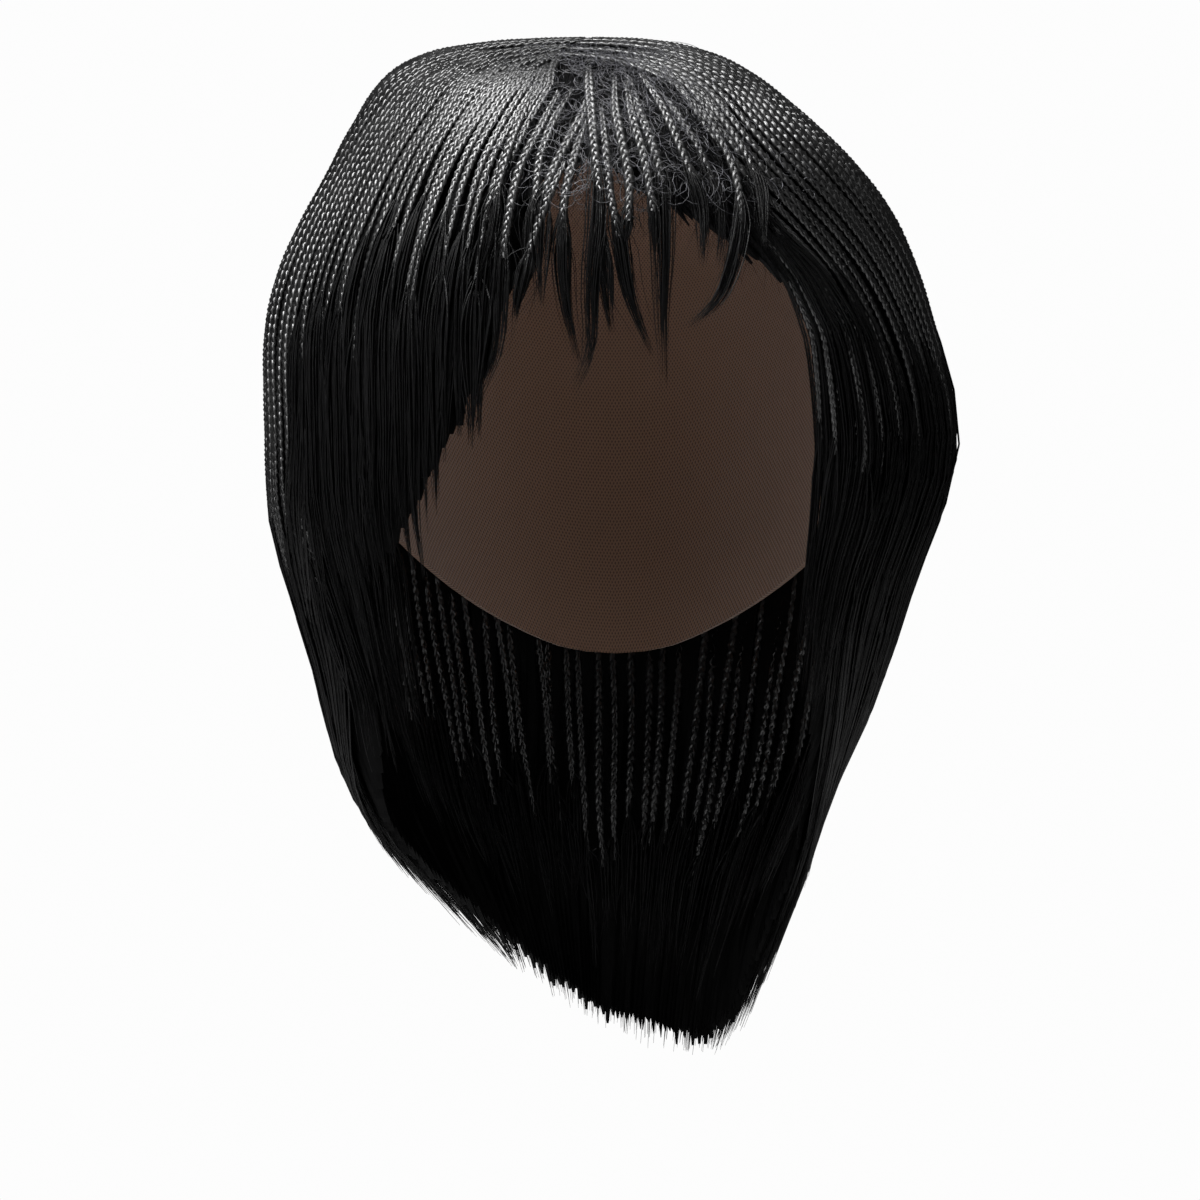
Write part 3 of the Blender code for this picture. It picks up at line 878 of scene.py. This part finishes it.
class WIG_OT_side_plaits(bpy.types.Operator):
    """Make the long plaits of the left, back and right with their loosened tips"""
    bl_idname = "wig.side_plaits"
    bl_label = "Long plaits"

    def execute(self, context):
        sizes = context.scene.wig_sizes
        finish, tips = plait_finish(), tip_finish()
        plans = [
            ("left", sizes.plaits_left, (straight(128.0), straight(204.0)), straight(13.2),
             4, 0.0015, 100),
            ("back", sizes.plaits_back, (straight(52.0), straight(128.0)),
             lambda angle: 14.6 - 1.4 * step(90, 128, angle), 3, 0.0018, 300),
            ("right", sizes.plaits_right, (right_edge, straight(52.0)),
             lambda angle: 10.4 + 4.2 * step(0, 52, angle), 4, 0.0015, 500),
        ]
        for side, count, angles, plaited_to, sides, pace, seed in plans:
            slot, cad = "braid_" + side, "hair_" + side
            lines = layer(count, angles, long_hem, plaited_to, seed, (0.03, 0.5, 1.2, 0.1, 0.35, 0.9))
            upper = [line for i, line in enumerate(lines) if i % 3 != 2]
            keep(plaits("plaits_" + side, plait_guides(upper), finish, sides, pace), slot, cad)
            keep(plaits("lower_plaits_" + side, plait_guides(lines[2::3]), shaded_finish(), 3, pace),
                 slot, cad)
            hairs = []
            for k, strand in enumerate(lines):
                hairs += lock(strand, 28, 5.6, seed + 1000 + k, ends=(0.82, 1.0), points=10,
                              pinch=0.7, lift=0.16, taper=6.0)
            keep(loose("tips_" + side, hairs, tips, sizes.hair_radius * 1.4), slot, cad)
        return {"FINISHED"}


class WIG_OT_edge_plaits(bpy.types.Operator):
    """Make the plaits that hang beside the face, between the outer layer and the cap"""
    bl_idname = "wig.edge_plaits"
    bl_label = "Plaits beside the face"

    def execute(self, context):
        sizes = context.scene.wig_sizes
        finish, tips = plait_finish(), tip_finish()
        plans = [
            ("right", right_edge, -1.0, 6.2, 16, (0.55, 0.0, 0.0), 700),
            ("left", straight(204.0), 1.0, 11.0, 15, (0.3, 0.0, 0.0), 800),
        ]
        for side, edge, ahead, first, count, shares, seed in plans:
            slot, cad = "braid_" + side, "hair_" + side
            lines, hairs = [], []
            for i in range(count):
                f = (i + 0.4) / count
                hang = long_hem(edge(EAR_ROW)) - 6.0 + 14.0 * f + rng.uniform(-12, 8)
                last = row_of(hang)
                begin = first + rng.uniform(0.0, 0.8) + (1.0 - abs(f - 0.5)) * 0.8
                line, out = [], []
                for k in range(34):
                    row = begin + (last - begin) * k / 33
                    wave = noise.noise(Vector((seed + i * 3.1, row * 0.3, 0.5))) * 2.4
                    angle = edge(row) + ahead + wave + ahead * 1.2 * (i % 2)
                    near, far = outer(angle, row, -2.0), inner(angle, row, 1.6)
                    line.append(near.lerp(far, f + 0.05 * wave))
                    out.append(Vector((math.cos(math.radians(angle)) * 0.25, -1.0, 0.0)))
                strand = (line, out, int(shares[i % 3] * 33))
                if strand[2]:
                    lines.append(strand)
                hairs += lock(strand, 18, 3.4, seed + 1000 + i, back=(0.0, 2.0), ends=(0.6, 1.0),
                              points=16, pinch=0.4)
            piece = plaits("edge_plaits_" + side, plait_guides(lines, 0.75, 0.72), finish, 4, 0.0012)
            keep(piece, slot, cad)
            keep(loose("edge_tips_" + side, hairs, tips, sizes.hair_radius * 1.5), slot, cad)
        return {"FINISHED"}


class WIG_OT_inner_plaits(bpy.types.Operator):
    """Make the plaits seen on the inside of the hair, below the cap's edge"""
    bl_idname = "wig.inner_plaits"
    bl_label = "Inner plaits"

    def execute(self, context):
        sizes = context.scene.wig_sizes
        finish, tips = plait_finish(), tip_finish()
        lines = []
        for i in range(48):
            angle = -14.0 + 212.0 * (i + rng.uniform(0.2, 0.8)) / 48
            first = row_of(cap_edge(angle) + rng.uniform(1.0, 7.0), 5)
            last = row_of(long_hem(angle) + rng.uniform(2.0, 24.0))
            line, out = [], []
            for k in range(31):
                row = first + (last - first) * k / 30
                wave = noise.noise(Vector((i * 3.3, row * 0.35, 6.0))) * 2.2
                point = inner(angle + wave, row, 0.5 + 0.7 * (i % 2))
                line.append(point)
                out.append(Vector((CENTRE.x - point.x, CENTRE.y - point.y, 0.0)).normalized())
            lines.append((line, out, int(rng.uniform(0.6, 0.8) * 30)))
        slot, cad = "braid_back", "hair_back"
        keep(plaits("inner_plaits", plait_guides(lines), finish, 3, 0.0016), slot, cad)
        hairs = [hair for k, strand in enumerate(lines) for hair in lock(strand, 12, 4.0, 2400 + k)]
        keep(loose("inner_tips", hairs, tips, sizes.hair_radius * 1.5), slot, cad)
        return {"FINISHED"}


class WIG_OT_front_left(bpy.types.Operator):
    """Make the plaits that sweep over the left of the forehead and end in loose locks"""
    bl_idname = "wig.front_left"
    bl_label = "Front left sweep"

    def execute(self, context):
        sizes = context.scene.wig_sizes
        finish, tips = plait_finish(), tip_finish()
        slot, cad = "braid_front_left", "hair_front_left"
        lines = layer(sizes.plaits_front_left, (straight(204.5), straight(251.0)),
                      hem_of(FRONT_LEFT_HEM), lambda angle: 7.8 + 2.6 * step(232, 206, angle), 900,
                      starts=(0.05, 0.5, 0.2, 0.8), jitter=11.0, uneven=1.2, paired=False)
        keep(plaits("plaits_front_left", plait_guides(lines), finish, 4, 0.0012), slot, cad)
        hairs = []
        for k, strand in enumerate(lines):
            hairs += lock(strand, 34, 5.2, 1900 + k, back=(0.3, 1.5), ends=(0.66, 1.0), points=9,
                          pinch=0.84)
        keep(loose("locks_front_left", hairs, tips, sizes.hair_radius * 1.5), slot, cad)
        return {"FINISHED"}


class WIG_OT_fringe(bpy.types.Operator):
    """Make the fringe: thin plaits over the forehead that end in wispy pointed locks"""
    bl_idname = "wig.fringe"
    bl_label = "Fringe"

    def execute(self, context):
        sizes = context.scene.wig_sizes
        finish, tips = plait_finish(), tip_finish()
        plaited, hairs = [], []
        for i, (width, share, flat) in enumerate(FRINGE):
            marks = [Vector((flat[k], flat[k + 1])) for k in range(0, len(flat), 2)]
            line, out = [], []
            for k in range(41):
                t = k / 40
                at = smooth_point(marks, t)
                depth = 1.0 + 0.5 * (i % 3) - 1.2 * t
                line.append(front_point(at.x, at.y, depth))
                row = row_of(at.y)
                out.append(outward_at(front_angle(at.x, row), row))
            strand = (line, out, int(share * 40))
            plaited += plait_guides([strand], 0.7, width, root=0.6, grown=0.4)
            spread = 3.0 * min(1.0, (1.0 - share) * 2.6)
            hairs += lock(strand, 42, spread, 60 + i, back=(1.0, 6.0), ends=(0.6, 0.98), points=10,
                          pinch=0.6)
            hairs += lock(strand, 9, 4.6, 90 + i, back=(0.0, 4.0), ends=(0.4, 1.0), points=9,
                          pinch=0.3, thick=0.45)
        keep(plaits("fringe_plaits", plaited, finish, 5, 0.0009), "fringe_lock", "fringe")
        keep(loose("fringe_locks", hairs, tips, sizes.hair_radius), "fringe_lock", "fringe")
        return {"FINISHED"}


class WIG_OT_root_mat(bpy.types.Operator):
    """Make the fuzzy mat of loose hair along the front hairline"""
    bl_idname = "wig.root_mat"
    bl_label = "Hairline mat"

    def execute(self, context):
        sizes = context.scene.wig_sizes
        matted = hair_material("matted_roots", 0.5, 0.7, 1500.0, 0.9, 3.0, (1.0, 1.0, 0.6),
                               shine=0.07)
        # Painted sheen: the flyaway hairs' streaks are 70 times the streak colour, so that the thin
        # black hairs read as grey glints.
        sheen_wisps = hair_material("flyaways", 0.35, 0.5, 800.0, 0.0, 70.0)
        hem = hem_of(MAT_HEM)
        mat = under_layer("mat_base", straight(250.0), lambda row: right_edge(row) + 360.0, hem,
                          34, matted, outer_in=4.8, rows=16, drop=7.0, raise_hem=4.0)
        keep(mat, "root_mat", "hair_front_mat")
        local = random.Random(417)
        forward = Vector((0, -1, 0))
        combed, fuzz = [], []
        for _ in range(700):
            angle = local.uniform(249.0, 306.0)
            row = local.uniform(2.7, row_of(hem(angle)) - 0.3)
            length = local.uniform(14.0, 30.0)
            turn = local.gauss(0.0, 9.0) + (angle - 262.0) * 0.16
            lift = local.uniform(0.2, 2.6)
            line, widths = [], []
            for k in range(6):
                t = k / 5
                here = row + length * t / 15.0
                swing = angle + turn * t * t * 0.5 + local.gauss(0, 0.5)
                line.append(outer(swing, here, -3.2 + lift * math.sin(math.pi * (0.2 + 0.7 * t))))
                widths.append(max(0.15, 1.0 - t ** 2))
            combed.append((line, [forward] * 6, widths, 0.0))
        for _ in range(900):
            angle = local.gauss(279.0, 16.0)
            row = local.uniform(1.9, 6.6)
            size = local.uniform(2.5, 7.5)
            phase = local.uniform(0.0, 6.28)
            bend = local.uniform(1.6, 4.6) * local.choice((-1, 1))
            lift = local.uniform(-2.2, 0.4)
            line, widths = [], []
            for k in range(8):
                t = k / 7
                swing = angle + size * 0.62 * math.sin(phase + bend * t)
                here = row + size * 0.055 * math.cos(phase + bend * t) + 0.2 * t
                line.append(outer(swing, here, lift + 0.9 * math.sin(math.pi * t)))
                widths.append(max(0.3, 1.0 - t ** 3))
            fuzz.append((line, [forward] * 8, widths, 0.0))
        keep(loose("root_hairs", combed, matted, sizes.fuzz_radius * 2.2), "root_mat",
             "hair_front_mat")
        keep(loose("flyaway_hairs", fuzz, sheen_wisps, sizes.fuzz_radius), "root_mat")
        return {"FINISHED"}


class WIG_OT_stage(bpy.types.Operator):
    """Make the pale floor, the soft lights, the white surroundings and the camera"""
    bl_idname = "wig.stage"
    bl_label = "Studio"

    def execute(self, context):
        scene = context.scene
        floor = bpy.data.meshes.new("floor")
        bm = bmesh.new()
        bmesh.ops.create_grid(bm, x_segments=1, y_segments=1, size=1.2)
        for vert in bm.verts:
            vert.co.z = -0.62
        bm.to_mesh(floor)
        bm.free()
        ground = bpy.data.objects.new("floor", floor)
        scene.collection.objects.link(ground)
        pale = bpy.data.materials.new("pale_floor")
        pale.use_nodes = True
        shader = pale.node_tree.nodes["Principled BSDF"]
        shader.inputs["Base Color"].default_value = (0.82, 0.82, 0.82, 1)
        shader.inputs["Roughness"].default_value = 0.9
        floor.materials.append(pale)
        middle = Vector((-0.004, 0.0, -0.13))
        for name, place, width, power in (
                ("key_light", (-0.62, -0.54, 0.98), 0.8, 60.0),
                ("top_light", (0.22, -0.12, 1.2), 0.7, 17.0),
                ("fill_light", (0.9, -1.9, 0.3), 0.9, 4.0),
                ("left_light", (-1.3, -1.3, 0.0), 0.8, 4.0)):
            lamp = bpy.data.lights.new(name, "AREA")
            lamp.shape = "DISK"
            lamp.size = width
            lamp.energy = power
            obj = bpy.data.objects.new(name, lamp)
            obj.location = place
            obj.rotation_euler = (middle - Vector(place)).to_track_quat("-Z", "Y").to_euler()
            scene.collection.objects.link(obj)
        world = bpy.data.worlds.new("studio")
        scene.world = world
        world.use_nodes = True
        tree = world.node_tree
        back = tree.nodes["Background"]
        back.inputs["Color"].default_value = (0.98, 0.98, 0.98, 1)
        ray = node(tree, "ShaderNodeLightPath", (-400, 0))
        blend = node(tree, "ShaderNodeMapRange", (-200, 0),
                     {"Value": ray.outputs["Is Camera Ray"], "To Min": 0.03, "To Max": 1.0})
        feed(tree, back, Strength=blend.outputs["Result"])
        scene.view_settings.view_transform = "Standard"
        camera = bpy.data.cameras.new("camera")
        camera.lens = 800.0
        camera.sensor_width = 36.0
        camera.clip_end = 50.0
        eye = bpy.data.objects.new("camera", camera)
        eye.location = (-0.0045, -8.0, -0.156)
        eye.rotation_euler = (math.radians(90), 0, 0)
        scene.collection.objects.link(eye)
        scene.camera = eye
        return {"FINISHED"}


class WIG_PT_panel(bpy.types.Panel):
    """Lists the wig's pieces, sizes and colours"""
    bl_idname = "WIG_PT_panel"
    bl_label = "Braided Wig"
    bl_space_type = "VIEW_3D"
    bl_region_type = "UI"
    bl_category = "Braided Wig"

    def draw(self, context):
        for group in (context.scene.wig_sizes, context.scene.wig_colours):
            for field in group.bl_rna.properties:
                if field.identifier not in ("rna_type", "name"):
                    self.layout.prop(group, field.identifier)
        for operator in OPERATORS:
            self.layout.operator(operator.bl_idname)


OPERATORS = (WIG_OT_stage, WIG_OT_cap, WIG_OT_layers, WIG_OT_side_plaits, WIG_OT_edge_plaits,
             WIG_OT_inner_plaits, WIG_OT_front_left, WIG_OT_fringe, WIG_OT_root_mat)
CLASSES = (WigSizes, WigColours) + OPERATORS + (WIG_PT_panel,)


def register():
    for item in CLASSES:
        bpy.utils.register_class(item)
    bpy.types.Scene.wig_sizes = bpy.props.PointerProperty(type=WigSizes)
    bpy.types.Scene.wig_colours = bpy.props.PointerProperty(type=WigColours)


def unregister():
    del bpy.types.Scene.wig_colours
    del bpy.types.Scene.wig_sizes
    for item in reversed(CLASSES):
        bpy.utils.unregister_class(item)


def main():
    register()
    bpy.ops.wig.stage()
    bpy.ops.wig.cap()
    bpy.ops.wig.layers()
    bpy.ops.wig.side_plaits()
    bpy.ops.wig.edge_plaits()
    bpy.ops.wig.inner_plaits()
    bpy.ops.wig.front_left()
    bpy.ops.wig.fringe()
    bpy.ops.wig.root_mat()


if __name__ == "__main__":
    main()
